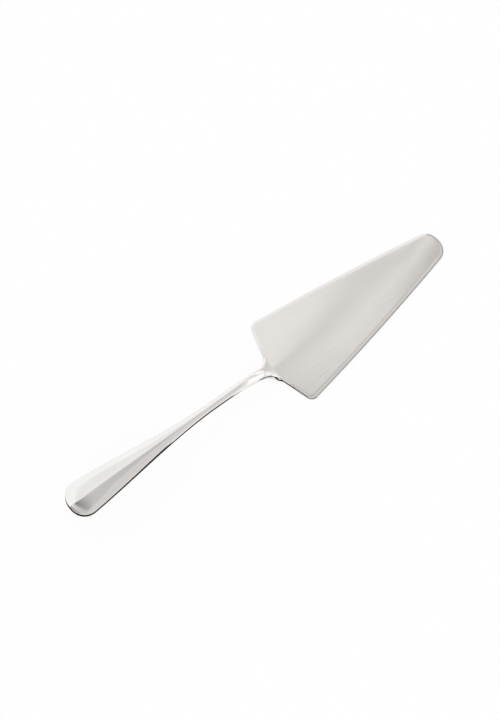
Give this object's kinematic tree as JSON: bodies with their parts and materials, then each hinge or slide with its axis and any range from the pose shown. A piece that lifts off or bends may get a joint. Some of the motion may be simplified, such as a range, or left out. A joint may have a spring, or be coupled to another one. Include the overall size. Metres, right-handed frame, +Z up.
{
  "type": "cake server",
  "caption": "Steel cake server: a flat tapered blade with sloping shoulders, a curved rising neck and a slim handle that spreads into a ridged, round-ended grip.",
  "frame": {"origin": "on the surface that the blade lies on, below the middle of the server's length and on its middle line", "axes": "+X along the server to the tip of the blade, +Y across it, +Z up from the underside of the blade"},
  "size_m": [0.2401, 0.0514, 0.0402],
  "materials": {
    "blade_steel": "fine satin on the flat faces, brighter along the rounded edges",
    "handle_steel": "mirror polished stainless steel",
    "seam_steel": "weld ground flush and polished over"
  },
  "bodies": {
    "root": {"blade": "blade_steel", "handle": "handle_steel", "weld_seam": "seam_steel"}
  },
  "joints": []
}
